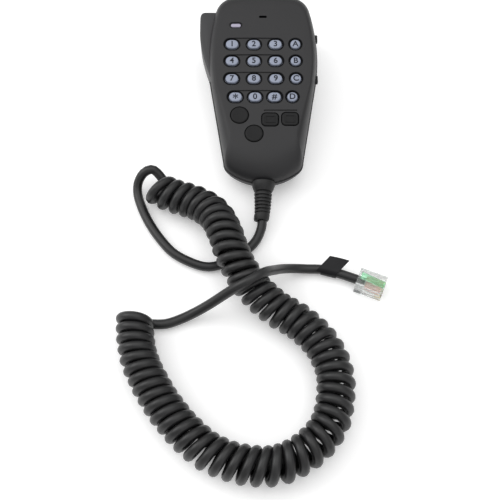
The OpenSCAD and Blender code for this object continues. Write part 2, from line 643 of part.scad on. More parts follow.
module cable_plug_inside() color("#e8e4d8") in_case() {
  block([-9.5, -1], [30, 35], [board_bottom, board_bottom - 4.4]);
  tube([[-0.4, tail_in + 0.7, 0.4 - front_depth], [-2, 15, -10.4], [-4, 20, -11.4], [-5.2, 26, -11], [-5.2, 30.2, -10]], 0.9, 8);
}

module cord_lead_mic() color("#222224") tube(lead_mic_route, cable_r, 10);
module curly_cord() color("#222224") tube(coil_route, coil_r, 12);
module cord_lead_plug() color("#222224") tube(lead_plug_route, cable_r, 10);

module cord_tag() color("#1c1c1e") {
  way = tag_to - tag_from;
  mid = (tag_from + tag_to) / 2;
  turn = atan2(way[1], way[0]);
  pitch = atan2(way[2], norm([way[0], way[1]]));
  translate(mid) rotate([0, -pitch, turn]) {
    rotate([0, 90, 0]) difference() {
      cylinder(r = cable_r + tag_wrap, h = 6.6, center = true);
      cylinder(r = cable_r + 0.03, h = 8, center = true);
    }
    translate([0, 0, cable_r - 0.05]) rotate([tag_lift, 0, 0])
      linear_extrude(tag_wrap) polygon([[-3.3, 0], [3.3, 0], [3.3 + 3.4, tag_flag[1]], [3.3 + 3.4 - tag_flag[0], tag_flag[1]]]);
  }
}

// ---------- plug ----------

contact_pitch = 1.02;
module plug_body() color([0.9, 0.95, 0.92, 0.5]) in_plug() difference() {
  block([0, plug_l], [-plug_w / 2, plug_w / 2], [0, plug_h]);
  translate([-1, 0, plug_h / 2]) rotate([0, 90, 0]) cylinder(r = cable_r + 0.05, h = 5);
  block([3.9, plug_l - 0.9], [-3.3, 3.3], [2.2, 4.3]);
  for (i = [-2.5:2.5]) block([plug_l - 3.4, plug_l + 1], [i * contact_pitch - 0.18, i * contact_pitch + 0.18], [-1, 2.3]);
}

module plug_contacts() color("gold") in_plug() for (i = [-2.5:2.5])
  block([plug_l - 3.3, plug_l - 0.6], [i * contact_pitch - 0.14, i * contact_pitch + 0.14], [0.35, 2.25]);

module plug_wires() color("#d9a79b") in_plug() for (i = [-2.5:2.5])
  tube([[4.1, i * 0.9, 3.3], [6.5, i * contact_pitch, 3.25], [plug_l - 1.2, i * contact_pitch, 3.25]], 0.42, 8);

latch_root = plug_l - 0.4;
latch_t = 0.65;
latch_w = 3.2;
latch_z = plug_h + 0.25 + latch_t / 2;
module plug_latch() color([0.85, 0.95, 0.88, 0.5]) in_plug() translate([0, latch_w / 2, 0]) rotate([90, 0, 0]) {
  translate([latch_root, latch_z, 0]) cylinder(d = latch_t, h = latch_w);
  linear_extrude(latch_w) polygon([[latch_root, latch_z - latch_t / 2], [latch_root, latch_z + latch_t / 2],
    [plug_l - 3.6, plug_h + 1.6], [1.4, plug_h + 3.1], [1.2, plug_h + 2.3], [plug_l - 3.8, plug_h + 0.85],
    [latch_root - 1.4, latch_z - latch_t / 2]]);
}

// ---------- what is drawn ----------

front_cover();
rear_cover();
cover_screws();
hang_button();
hang_button_screw();
main_board();
board_screws();
tone_chip();
keypad_lamps();
keypad_mat();
status_lamp();
lamp_window();
mic_capsule();
mic_boot();
mic_wires();
top_key_board();
top_key_switches();
lock_switch();
lamp_switch();
ptt_pivot_pin();
ptt_switch();
ptt_spring();
cable_boot();
cable_clamp();
cable_tail();
cable_plug_inside();
ptt_lever();
key(0, 0);  // key_1
key(0, 1);  // key_2
key(0, 2);  // key_3
key(0, 3);  // key_a
key(1, 0);  // key_4
key(1, 1);  // key_5
key(1, 2);  // key_6
key(1, 3);  // key_b
key(2, 0);  // key_7
key(2, 1);  // key_8
key(2, 2);  // key_9
key(2, 3);  // key_c
key(3, 0);  // key_star
key(3, 1);  // key_0
key(3, 2);  // key_hash
key(3, 3);  // key_d
round_button(left_at);  // button_left
round_button(low_at);  // button_low
square_button(mid_at);  // button_mid
square_button(right_at);  // button_right
head_key(-1);  // up_key
head_key(1);  // down_key
lock_slider();
lamp_slider();
cord_lead_mic();
curly_cord();
cord_lead_plug();
cord_tag();
plug_body();
plug_contacts();
plug_wires();
plug_latch();
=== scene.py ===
import json
import math

import bmesh
import bpy
from mathutils import Matrix, Vector


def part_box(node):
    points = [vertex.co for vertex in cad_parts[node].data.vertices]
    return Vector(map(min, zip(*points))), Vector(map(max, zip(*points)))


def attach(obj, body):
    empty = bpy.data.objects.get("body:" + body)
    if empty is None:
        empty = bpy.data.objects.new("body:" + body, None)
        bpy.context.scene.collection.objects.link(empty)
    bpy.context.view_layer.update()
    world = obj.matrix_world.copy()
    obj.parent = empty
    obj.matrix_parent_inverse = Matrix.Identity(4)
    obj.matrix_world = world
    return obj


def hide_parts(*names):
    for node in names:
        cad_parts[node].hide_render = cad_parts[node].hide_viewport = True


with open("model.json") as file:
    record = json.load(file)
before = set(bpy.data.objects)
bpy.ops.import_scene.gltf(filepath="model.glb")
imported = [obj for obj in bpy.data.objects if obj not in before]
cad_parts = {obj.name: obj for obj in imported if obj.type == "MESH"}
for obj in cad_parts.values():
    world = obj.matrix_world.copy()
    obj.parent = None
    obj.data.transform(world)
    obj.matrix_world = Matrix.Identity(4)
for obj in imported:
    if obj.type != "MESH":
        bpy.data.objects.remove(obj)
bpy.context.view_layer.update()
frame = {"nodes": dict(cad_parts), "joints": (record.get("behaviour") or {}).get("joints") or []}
nodes = frame["nodes"]


# Where the microphone is shown: a pale paper sweep under three large soft lights.
# The camera stands at the cord's end and looks down on the keypad.
bpy.ops.object.camera_add(location=(-0.0046, -0.25245, 0.33591), rotation=(math.radians(27), 0, 0))
camera = bpy.context.object
camera.data.sensor_width = 36
camera.data.lens = 57.6
camera.data.clip_start = 0.01
bpy.context.scene.camera = camera

bpy.ops.mesh.primitive_plane_add(size=6, location=(0, 0, -0.0003))
floor = bpy.context.object
floor.name = "floor"
paper = bpy.data.materials.new("white_paper")
paper.use_nodes = True
paper_shader = paper.node_tree.nodes["Principled BSDF"]
paper_shader.inputs["Base Color"].default_value = (0.93, 0.93, 0.93, 1)
paper_shader.inputs["Roughness"].default_value = 0.9
paper_shader.inputs["Specular IOR Level"].default_value = 0.1
paper_shader.inputs["Emission Color"].default_value = (1, 1, 1, 1)
paper_shader.inputs["Emission Strength"].default_value = 0.22
floor.data.materials.append(paper)

for name, spot, aim, width, power in (
        ("overhead softbox", (0.0, 0.1, 1.1), (0, -0.07, 0), 1.3, 5.5),
        ("left softbox", (-0.9, 0.15, 0.7), (0, -0.05, 0), 0.8, 4.6),
        ("front fill", (0.5, -0.9, 0.8), (0, -0.05, 0), 0.9, 0.9)):
    bpy.ops.object.light_add(type="AREA", location=spot)
    lamp = bpy.context.object
    lamp.name = name
    lamp.data.size = width
    lamp.data.energy = power
    lamp.rotation_euler = (Vector(aim) - Vector(spot)).to_track_quat("-Z", "Y").to_euler()
studio = bpy.data.worlds.new("studio")
studio.use_nodes = True
studio.node_tree.nodes["Background"].inputs["Color"].default_value = (1, 1, 1, 1)
studio.node_tree.nodes["Background"].inputs["Strength"].default_value = 0.62
bpy.context.scene.world = studio
bpy.context.scene.view_settings.view_transform = "Standard"
bpy.context.scene.view_settings.look = "None"


# The cord: 2.4 m of black 4.5 mm cable. Most of it is wound left-handed on a 7.8 mm mandrel and set,
# so it springs into a tight coil; two straight leads join the coil to the microphone and to the plug.
def grained(name, colour, roughness, grain, depth, mottle=0.25, shine=0.5):
    """Moulded or extruded plastic and rubber: a fine grain, cloudy gloss and slightly uneven colour."""
    finish = bpy.data.materials.new(name)
    finish.use_nodes = True
    tree = finish.node_tree
    shader = tree.nodes["Principled BSDF"]
    shader.inputs["Specular IOR Level"].default_value = shine
    place = tree.nodes.new("ShaderNodeTexCoord")
    fine = tree.nodes.new("ShaderNodeTexNoise")
    fine.inputs["Scale"].default_value = grain
    fine.inputs["Detail"].default_value = 3
    cloud = tree.nodes.new("ShaderNodeTexNoise")
    cloud.inputs["Scale"].default_value = 60
    cloud.inputs["Detail"].default_value = 4
    for cell in (fine, cloud):
        tree.links.new(place.outputs["Object"], cell.inputs["Vector"])
    tint = tree.nodes.new("ShaderNodeValToRGB")
    tint.color_ramp.elements[0].position = 0.3
    tint.color_ramp.elements[1].position = 0.7
    for stop, share in zip(tint.color_ramp.elements, (1 - mottle, 1 + mottle)):
        stop.color = [min(1, c * share) for c in colour] + [1]
    tree.links.new(cloud.outputs["Fac"], tint.inputs["Fac"])
    tree.links.new(tint.outputs["Color"], shader.inputs["Base Color"])
    sheen = tree.nodes.new("ShaderNodeMapRange")
    sheen.inputs["To Min"].default_value = roughness - 0.08
    sheen.inputs["To Max"].default_value = roughness + 0.08
    tree.links.new(cloud.outputs["Fac"], sheen.inputs["Value"])
    tree.links.new(sheen.outputs["Result"], shader.inputs["Roughness"])
    bump = tree.nodes.new("ShaderNodeBump")
    bump.inputs["Strength"].default_value = depth
    bump.inputs["Distance"].default_value = 0.0001
    tree.links.new(fine.outputs["Fac"], bump.inputs["Height"])
    tree.links.new(bump.outputs["Normal"], shader.inputs["Normal"])
    return finish


def through(points, spacing):
    """A smooth line through the points, with a new point about every spacing."""
    points = [Vector(p) for p in points]
    points = [2 * points[0] - points[1]] + points + [2 * points[-1] - points[-2]]
    line = []
    for a, b, c, d in zip(points, points[1:], points[2:], points[3:]):
        steps = max(2, round((c - b).length / spacing))
        for k in range(steps):
            t = k / steps
            line.append(0.5 * (2 * b + (c - a) * t + (2 * a - 5 * b + 4 * c - d) * t ** 2
                               + (3 * b - a - 3 * c + d) * t ** 3))
    return line + [points[-2]]


def between(table, x):
    """A value read from a short table of (x, value) rows, with smooth steps between them."""
    for (x0, v0), (x1, v1) in zip(table, table[1:]):
        if x <= x1:
            t = max(0, (x - x0) / (x1 - x0))
            return v0 + (v1 - v0) * t * t * (3 - 2 * t)
    return table[-1][1]


cable = 4.5
coil_radius = 6.15
steps_per_turn = 24
end_margin = 2.6
coil_axis = through([
    (-51.5, -50.5, 8.5), (-44, -55.5, 8.5), (-36, -58.5, 8.5), (-28, -62, 9), (-20.5, -69, 10.8), (-16, -79, 12.8),
    (-12.5, -90, 13.4), (-8, -99, 12.2), (-2, -107, 10.6), (7, -115, 9.2), (16, -120.5, 8.6), (23, -127, 8.5),
    (28, -134, 8.5), (31.5, -144, 8.5), (31.5, -154, 8.5), (29, -165, 8.5), (23.5, -173, 8.5), (16, -179, 8.5),
    (7, -183, 8.5), (-3, -183.5, 8.5), (-13, -181.5, 8.5), (-22, -177.5, 8.5), (-30, -171, 8.5), (-37, -163.5, 8.5),
    (-43, -155.5, 8.5), (-48, -147, 8.5), (-52, -138.5, 8.5), (-54.5, -128, 8.5), (-55.5, -116, 8.5)], 0.5)
run = [0]
for a, b in zip(coil_axis, coil_axis[1:]):
    run.append(run[-1] + (b - a).length)
pitch_along = [(0, 5.4), (0.12, 5.2), (0.3, 4.75), (0.45, 4.95), (0.6, 5.5), (0.72, 5.3), (0.84, 4.62), (1, 4.55)]
lean_along = [(0, 1.0), (0.25, 0.9), (0.42, 0.0), (0.55, 0.2), (0.66, 1.3), (0.8, 0.7), (1, 0.4)]
first_angle, last_angle = math.radians(205), math.radians(270)
start_run, end_run = end_margin, run[-1] - end_margin
stations, s = [start_run], start_run
while s < end_run:
    s += between(pitch_along, s / run[-1]) / steps_per_turn
    stations.append(s)
turned = 2 * math.pi * round((len(stations) - 1) / steps_per_turn) + (last_angle - first_angle)
helix = []
j = 0
for i, s in enumerate(stations):
    s = start_run + (s - start_run) * (end_run - start_run) / (stations[-1] - start_run)
    while j < len(run) - 2 and run[j + 1] < s:
        j += 1
    centre = coil_axis[j].lerp(coil_axis[j + 1], (s - run[j]) / (run[j + 1] - run[j]))
    ahead = (coil_axis[min(j + 4, len(run) - 1)] - coil_axis[max(j - 4, 0)]).normalized()
    side = ahead.cross(Vector((0, 0, 1))).normalized()
    up = side.cross(ahead)
    angle = first_angle + turned * i / (len(stations) - 1)
    reach = coil_radius * (1 + 0.008 * math.sin(0.37 * angle) + 0.006 * math.sin(0.9 * angle + 1))
    lean = between(lean_along, s / run[-1])
    helix.append(centre + reach * (math.cos(angle) * side + math.sin(angle) * up) - lean * math.cos(angle) * ahead)
lead_from_case = through([
    (1.17, -68.98, 5.81), (0.7, -72.4, 4.7), (-1.6, -77.6, 3.1), (-6, -82.5, 2.4), (-12.5, -87, 2.3),
    (-19.5, -90.5, 2.3), (-26, -91, 2.3), (-34, -88, 2.3), (-41, -83.5, 2.3), (-47, -76.5, 2.3), (-52, -69, 2.3),
    (-56, -61, 2.3), (-58.8, -53, 2.7), (-58.8, -47.6, 5.2), (-56, -44.2, 8.8), (-52.2, -43.0, 10.3),
    (-49.4, -43.9, 8.9), tuple(helix[0])], 2)[:-1]
lead_to_plug = through([
    tuple(helix[-1]), (-49, -119.6, 2.3), (-42, -119.5, 2.3), (-35.5, -117.3, 2.6), (-29, -114.8, 4.4),
    (-22.5, -112.6, 8.4), (-16, -110.5, 13.8), (-10, -108.8, 19), (-4.5, -107, 21.8), (-0.5, -104.2, 21.2),
    (2.8, -101.2, 18.3), (5.8, -98.3, 13.5), (10, -95, 8), (15.5, -93, 4.2), (22, -92.5, 2.7), (29, -92.8, 2.7),
    (36, -94.8, 2.9), (42, -97.2, 3.3), (48, -99.6, 3.3)], 2)[1:]
cord_line = [p * 0.001 for p in lead_from_case + helix + lead_to_plug]

cord_curve = bpy.data.curves.new("cord", "CURVE")
cord_curve.dimensions = "3D"
cord_curve.bevel_depth = cable / 2000
cord_curve.bevel_resolution = 4
cord_curve.use_fill_caps = True
strand = cord_curve.splines.new("POLY")
strand.points.add(len(cord_line) - 1)
for point, p in zip(strand.points, cord_line):
    point.co = (*p, 1)
cord = bpy.data.objects.new("cord", cord_curve)
bpy.context.scene.collection.objects.link(cord)
cord_jacket = grained("cord_jacket", (0.0075, 0.0075, 0.008), 0.38, 5200, 0.25)
cord.data.materials.append(cord_jacket)
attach(cord, "case")
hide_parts("cord_lead_mic", "curly_cord", "cord_lead_plug")
nodes["cable_tail"].data.materials.clear()
nodes["cable_tail"].data.materials.append(cord_jacket)


# The frame of the case: its face looks out along the key's stroke, and its origin is at the middle of the
# cord end, on the face. The capsule's place gives it. Pieces of the case are shaped lying flat, in
# millimetres, and are then seated in this frame.
press = next(j for j in frame["joints"] if j["name"] == "key_5_press")
outward = -Vector(press["axis"])
lengthwise = outward.cross(Vector((1, 0, 0)))
low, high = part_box("mic_capsule")
capsule_along, capsule_below = 0.0836, 0.00675
corner = (low + high) / 2 - capsule_along * lengthwise + capsule_below * outward
case_place = Matrix((
    (0.001, 0, 0, corner.x),
    (0, 0.001 * lengthwise.y, 0.001 * outward.y, corner.y),
    (0, 0.001 * lengthwise.z, 0.001 * outward.z, corner.z),
    (0, 0, 0, 1)))


def seat(piece, place=case_place):
    """Puts a finished piece in its place in the microphone, in metres, with its object at the origin."""
    piece.data.transform(place @ piece.matrix_world)
    piece.matrix_world = Matrix.Identity(4)
    piece.data.update()


def only(piece):
    """Selects one piece and makes it the active one."""
    bpy.ops.object.select_all(action="DESELECT")
    piece.select_set(True)
    bpy.context.view_layer.objects.active = piece


def finish_mesh(piece, angle=35):
    """Closes the doubles, turns every face outwards and smooths all but the real edges."""
    only(piece)
    bpy.ops.object.mode_set(mode="EDIT")
    bpy.ops.mesh.select_all(action="SELECT")
    bpy.ops.mesh.remove_doubles(threshold=0.0005)
    bpy.ops.mesh.normals_make_consistent(inside=False)
    bpy.ops.object.mode_set(mode="OBJECT")
    bpy.ops.object.shade_smooth_by_angle(angle=math.radians(angle))


def soften(node, width):
    """A moulded copy of a plain CAD piece: flat faces made whole again and every sharp edge rounded over."""
    bpy.ops.object.select_all(action="DESELECT")
    piece = nodes[node].copy()
    piece.data = nodes[node].data.copy()
    piece.parent = None
    for key in list(piece.keys()):
        del piece[key]
    piece.name = "soft_" + node
    bpy.context.scene.collection.objects.link(piece)
    piece.data.transform(Matrix.Scale(1000, 4))
    only(piece)
    bpy.ops.object.mode_set(mode="EDIT")
    bpy.ops.mesh.select_all(action="SELECT")
    bpy.ops.mesh.remove_doubles(threshold=0.002)
    bpy.ops.mesh.dissolve_limited(angle_limit=math.radians(1.5))
    bpy.ops.object.mode_set(mode="OBJECT")
    rounding = piece.modifiers.new("rounding", "BEVEL")
    rounding.width = width
    rounding.segments = 3
    rounding.limit_method = "ANGLE"
    rounding.angle_limit = math.radians(40)
    bpy.ops.object.modifier_apply(modifier="rounding")
    finish_mesh(piece, 32)
    seat(piece, Matrix.Scale(0.001, 4))
    piece.data.materials.clear()
    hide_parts(node)
    return piece


# The covers: two shells of dark grey ABS, moulded with a fine spark-eroded grain. The outline is narrow at the
# chin and full at the head; the front cover rolls over to the face, the rear one has a rim that the front sits in.
half_width, case_length, wall = 27.4, 103, 2.0


def outline(side, tail, head):
    """The case's outline, drawn in by so much at the sides, the tail and the head."""
    def arc(x, y, r, start, end, n):
        return [(x + r * math.cos(math.radians(start + (end - start) * i / n)),
                 y + r * math.sin(math.radians(start + (end - start) * i / n))) for i in range(n + 1)]
    up, down, corner_r = tail - side, head - side, max(1, 7 - side)
    inner, chin = 27 - side - corner_r, math.radians(52)
    right = (arc(0, 27 + up, 27 - side, -87, -52, 10)
             + arc(inner * math.cos(chin), 27 - inner * math.sin(chin) + up, corner_r, -46, 0, 8)
             + arc(half_width - 100, case_length - 35 - down, 100 - side, -9.5, 12, 12)
             + arc(half_width - 14.7, case_length - 13.3 - down, 12 - side, 18, 78, 12)
             + arc(0, case_length - 70 - down, 70 - side, 81, 88, 3))
    return right + [(-x, y) for x, y in reversed(right)]


def loft(name, rings):
    """A closed band of faces through the rings, made from a grid that is rolled round the outline."""
    n = len(rings[0])
    bpy.ops.object.select_all(action="DESELECT")
    bpy.ops.mesh.primitive_grid_add(x_subdivisions=n, y_subdivisions=len(rings) - 1, size=1)
    piece = bpy.context.object
    piece.name = name
    places = [p for ring in rings for p in ring + ring[:1]]
    for vertex, p in zip(piece.data.vertices, places):
        vertex.co = p
    bpy.ops.object.mode_set(mode="EDIT")
    bpy.ops.mesh.select_all(action="SELECT")
    bpy.ops.mesh.remove_doubles(threshold=0.001)
    bpy.ops.object.mode_set(mode="OBJECT")
    return piece


def cap(piece, height):
    """Closes the opening at a height with one face."""
    only(piece)
    bpy.ops.object.mode_set(mode="EDIT")
    bpy.ops.mesh.select_all(action="DESELECT")
    mesh = bmesh.from_edit_mesh(piece.data)
    for edge in mesh.edges:
        edge.select = edge.is_boundary and all(height(v.co) for v in edge.verts)
    bmesh.update_edit_mesh(piece.data)
    bpy.ops.mesh.edge_face_add()
    bpy.ops.object.mode_set(mode="OBJECT")


def shell(piece, thickness):
    """Gives an open skin a wall on its inner side."""
    only(piece)
    bpy.ops.object.mode_set(mode="EDIT")
    bpy.ops.mesh.select_all(action="SELECT")
    bpy.ops.mesh.normals_make_consistent(inside=False)
    bpy.ops.object.mode_set(mode="OBJECT")
    walls = piece.modifiers.new("walls", "SOLIDIFY")
    walls.thickness = thickness
    walls.offset = -1
    bpy.ops.object.modifier_apply(modifier="walls")


def stadium(x, y, l, w, top, bottom, flare=0.0, n=32):
    """A round or oval punch, which may flare towards its upper end."""
    bpy.ops.mesh.primitive_cylinder_add(vertices=n, radius=w / 2, depth=top - bottom,
                                        location=(x, y, (top + bottom) / 2))
    punch = bpy.context.object
    for vertex in punch.data.vertices:
        if flare and vertex.co.z > 0:
            vertex.co.xy *= 1 + 2 * flare / w
        vertex.co.x += math.copysign((l - w) / 2, vertex.co.x) if abs(vertex.co.x) > 1e-6 else 0
    return punch


def slab(x, y, l, w, r, top, bottom, flare=0.0):
    """A punch with rounded corners."""
    bpy.ops.mesh.primitive_cylinder_add(vertices=32, radius=r, depth=top - bottom,
                                        location=(x, y, (top + bottom) / 2))
    punch = bpy.context.object
    for vertex in punch.data.vertices:
        grow = flare if vertex.co.z > 0 else 0
        angle = math.atan2(vertex.co.y, vertex.co.x) + 0.01
        vertex.co.x = (r + grow) * math.cos(angle - 0.01) + math.copysign(l / 2 - r, math.cos(angle))
        vertex.co.y = (r + grow) * math.sin(angle - 0.01) + math.copysign(w / 2 - r, math.sin(angle))
    return punch


def box_punch(x, y, z):
    """A square punch between the two ends given for each direction."""
    bpy.ops.mesh.primitive_cube_add(size=1, location=((x[0] + x[1]) / 2, (y[0] + y[1]) / 2, (z[0] + z[1]) / 2),
                                    scale=(x[1] - x[0], y[1] - y[0], z[1] - z[0]))
    return bpy.context.object


def cut(piece, punches, keep=None):
    """Cuts a set of punches, none of which touch one another, out of a piece."""
    bpy.ops.object.select_all(action="DESELECT")
    for punch in punches:
        punch.select_set(True)
    bpy.context.view_layer.objects.active = punches[0]
    if len(punches) > 1:
        bpy.ops.object.join()
    punch = bpy.context.object
    bpy.ops.object.transform_apply(location=True, rotation=True, scale=True)
    # keep is the finish given to the cut walls; where it is given in this script, it is the painted shade.
    if keep is not None:
        punch.data.materials.append(keep)
    only(piece)
    boolean = piece.modifiers.new("cut", "BOOLEAN")
    boolean.operation = "DIFFERENCE"
    boolean.solver = "EXACT"
    boolean.object = punch
    boolean.material_mode = "TRANSFER"
    bpy.ops.object.modifier_apply(modifier="cut")
    bpy.data.objects.remove(punch)


case_grain = grained("case_front_grain", (0.0165, 0.0162, 0.0175), 0.5, 3600, 0.35, 0.06, 0.38)
# case_shade is painted shade: a near-black finish that the cuts below lay on the walls of the key and button rings,
# holes, slots, lever bay, screw wells and cord opening, where shade falls.
case_shade = grained("case_painted_shade", (0.003, 0.003, 0.004), 0.7, 3600, 0.2, 0.05, 0.15)
back_grain = grained("case_back_grain", (0.028, 0.028, 0.030), 0.5, 3000, 0.4, 0.08, 0.45)

column_x = (-15.2, -4.5, 6.1, 15.9)
row_y = (70.3, 61, 51.3, 41.4)
row_draw = (1, 1, 1, 0.88)
round_buttons = (("left", -11.4, 31.6), ("low", -4.5, 22))
square_buttons = (("mid", 3.2, 29.3), ("right", 12.7, 29.6))
lamp_at, slot_at = (-13.4, 81), (0, 85.8)
lever_bay = ((-34, -17.8), (55.2, 92.8), (-18.8, -5.2))
quarter = [math.radians(a) for a in range(0, 91, 9)]

boot_turn = (Matrix.Translation((0, 0, -10)) @ Matrix.Rotation(math.radians(-2), 4, "Z")
             @ Matrix.Rotation(math.radians(95), 4, "X"))


def passage(radius, start, end):
    """A punch along the cable's way out, which droops a little and turns to the left."""
    bpy.ops.mesh.primitive_cylinder_add(vertices=40, radius=radius, depth=end - start,
                                        location=(0, 0, (start + end) / 2))
    seat(bpy.context.object, boot_turn)
    return bpy.context.object


front = loft("case_front", [[(x, y, -10) for x, y in outline(0.5, 0.5, 0.5)]] + [
    [(x, y, -9 * (1 - math.sin(a))) for x, y in outline(*(0.5 + r * (1 - math.cos(a)) for r in (3.4, 16, 8)))]
    for a in quarter])
cap(front, lambda v: v.z > -0.01)
shell(front, wall)
front.data.materials.append(case_grain)
front.data.materials.append(case_shade)
cut(front, [stadium((column_x[0] + column_x[2]) / 2 * d, y, (column_x[2] - column_x[0]) * d + 8.2, 6.7, 1, -0.5, 0.9)
            for y, d in zip(row_y, row_draw)]
    + [stadium(column_x[3] * d, y, 6.7, 6.7, 1, -0.5, 0.9) for y, d in zip(row_y, row_draw)]
    + [slab(8.2, 34.1, 16, 0.8, 0.39, 1, -0.5)]
    + [stadium(*lamp_at, 6.4, 3.4, 1, -0.4, 0.5)])
# The rings round the keys, buttons and lamp and the cord's opening get painted shade on their walls.
cut(front, [stadium(x * d, y, 8.3, 6.8, 0.9, -0.9, 0.0) for x in column_x[:3] for y, d in zip(row_y, row_draw)]
    + [stadium(column_x[3] * d, y, 6.8, 6.8, 0.9, -0.9, 0.0) for y, d in zip(row_y, row_draw)]
    + [stadium(x, y, 9.2, 9.2, 1, -0.6, 0.0, 48) for _, x, y in round_buttons]
    + [slab(x, y, 8.7, 7.5, 2.4, 1, -0.6) for _, x, y in square_buttons]
    + [stadium(*lamp_at, 5.9, 2.9, 1, -0.9), passage(5.6, -1.1, 6.9)], case_shade)
# The through holes, slots and lever bay get painted shade on their walls as well.
cut(front, [stadium(x * d, y, 6.9, 5.4, 2, -4) for x in column_x[:3] for y, d in zip(row_y, row_draw)]
    + [stadium(column_x[3] * d, y, 5.5, 5.5, 2, -4) for y, d in zip(row_y, row_draw)]
    + [stadium(x, y, 9.0, 9.0, 2, -5, 0.0, 48) for _, x, y in round_buttons]
    + [slab(x, y, 8.4, 7.2, 2.2, 2, -5) for _, x, y in square_buttons]
    + [stadium(*lamp_at, 5.0, 2.0, 2, -4), stadium(*slot_at, 4, 1.3, 2, -4)]
    + [box_punch(*lever_bay)]
    + [box_punch((20.9, 30), (y - 2.3, y + 4.8), (-9.45, -6.95)) for y in (78, 55)]
    + [box_punch((-8.1, 4.1), (97, 106), (-9.75, -4.25)), passage(3.5, -6, 8)], case_shade)
finish_mesh(front, 38)
seat(front)
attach(front, "case")
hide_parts("front_cover")

wedge = math.radians(5)
rear = loft("case_back", [
    [(x, y * math.cos(wedge) + 5 * (1 - math.sin(a)) * math.sin(wedge),
      -21 - y * math.sin(wedge) + 5 * (1 - math.sin(a)) * math.cos(wedge))
     for x, y in outline(*(1.5 + r * (1 - math.cos(a)) for r in (4, 6, 6)))] for a in reversed(quarter)]
    + [[(x, y, z) for x, y in outline(0, 0, 0)] for z in (-11.2, -10.0)])
cap(rear, lambda v: v.z < -12)
shell(rear, wall)
rear.data.materials.append(back_grain)
rear.data.materials.append(case_shade)
screw_places = ((10.5, 15.2), (-10.5, 15.2), (12, 90), (-12, 90))
# The lever bay, screw wells and cord opening in the back get painted shade on their walls.
cut(rear, [box_punch(*lever_bay)]
    + [stadium(x, y, 4.6, 4.6, -18, -36, 0.0, 24) for x, y in screw_places] + [passage(5.6, -1.1, 6.9)], case_shade)
cut(rear, [passage(3.5, -6, 8)], case_shade)
posts = []
for x, y in screw_places:
    post = stadium(x, y, 6.4, 6.4, -10.1, -22.2 - y * math.tan(wedge) + 2.4, 0.0, 32)
    only(post)
    bpy.ops.object.transform_apply(location=True)
    cut(post, [stadium(x, y, 4.6, 4.6, -17 - y * math.tan(wedge), -40, 0.0, 24)])
    posts.append(post)
finish_mesh(rear, 38)
only(rear)
for post in posts:
    post.select_set(True)
bpy.ops.object.join()
bpy.ops.object.shade_smooth_by_angle(angle=math.radians(38))
seat(rear)
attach(rear, "case")
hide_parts("rear_cover")


# What holds the case together: four zinc-plated screws sunk in the back, and the nickel-plated hang-up
# button, which is turned from brass and held by its own screw.
def plated(name, colour, roughness, turned=0.12):
    """Plated metal: a bright base with fine handling marks that break up the gloss."""
    finish = bpy.data.materials.new(name)
    finish.use_nodes = True
    tree = finish.node_tree
    shader = tree.nodes["Principled BSDF"]
    shader.inputs["Base Color"].default_value = (*colour, 1)
    shader.inputs["Metallic"].default_value = 1
    place = tree.nodes.new("ShaderNodeTexCoord")
    marks = tree.nodes.new("ShaderNodeTexNoise")
    marks.inputs["Scale"].default_value = 900
    marks.inputs["Detail"].default_value = 6
    tree.links.new(place.outputs["Object"], marks.inputs["Vector"])
    gloss = tree.nodes.new("ShaderNodeMapRange")
    gloss.inputs["To Min"].default_value = roughness * 0.6
    gloss.inputs["To Max"].default_value = roughness * 1.5
    tree.links.new(marks.outputs["Fac"], gloss.inputs["Value"])
    tree.links.new(gloss.outputs["Result"], shader.inputs["Roughness"])
    bump = tree.nodes.new("ShaderNodeBump")
    bump.inputs["Strength"].default_value = turned
    bump.inputs["Distance"].default_value = 0.00005
    tree.links.new(marks.outputs["Fac"], bump.inputs["Height"])
    tree.links.new(bump.outputs["Normal"], shader.inputs["Normal"])
    return finish


zinc = plated("zinc_plate", (0.55, 0.55, 0.57), 0.35)
nickel = plated("nickel_plate", (0.72, 0.71, 0.69), 0.2)
for node, width, metal, slot in (("cover_screws", 0.15, zinc, "steel"), ("hang_button", 0.25, nickel, "button_metal"),
                                 ("hang_button_screw", 0.15, zinc, "steel")):
    piece = soften(node, width)
    piece.data.materials.append(metal)
    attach(piece, "case")


# The sixteen keys: grey-blue silicone tops, pillowed, each with its legend printed in dark ink. They stand
# in their holes on a flange and a stem that belongs to the mat underneath.
key_top = grained("key_silicone", (0.265, 0.295, 0.375), 0.42, 2600, 0.15, 0.05, 0.4)
ink = grained("key_ink", (0.009, 0.01, 0.017), 0.55, 3000, 0.1, 0.1, 0.2)
flange_top, flange_bottom, stem_end, stem_width = -2.15, -2.85, -4.3, 3.2


def pillow(punch, rim, inset, rise):
    """Rounds the upper edge of a button and raises or sinks the middle of its top."""
    only(punch)
    bpy.ops.object.mode_set(mode="EDIT")
    bpy.ops.mesh.select_mode(type="FACE")
    bpy.ops.mesh.select_all(action="DESELECT")
    mesh = bmesh.from_edit_mesh(punch.data)
    max(mesh.faces, key=lambda f: f.calc_center_median().z).select = True
    bmesh.update_edit_mesh(punch.data)
    bpy.ops.mesh.bevel(offset=rim, segments=4, affect="EDGES")
    bpy.ops.mesh.select_all(action="DESELECT")
    mesh = bmesh.from_edit_mesh(punch.data)
    max(mesh.faces, key=lambda f: f.calc_center_median().z).select = True
    bmesh.update_edit_mesh(punch.data)
    for _ in range(3):
        bpy.ops.mesh.inset(thickness=inset / 3)
        bpy.ops.transform.translate(value=(0, 0, rise / 3))
    bpy.ops.object.mode_set(mode="OBJECT")


def joined(name, parts):
    """Makes one piece of several, which keeps the place of the first."""
    only(parts[0])
    for part in parts[1:]:
        part.select_set(True)
    bpy.ops.object.join()
    parts[0].name = name
    return parts[0]


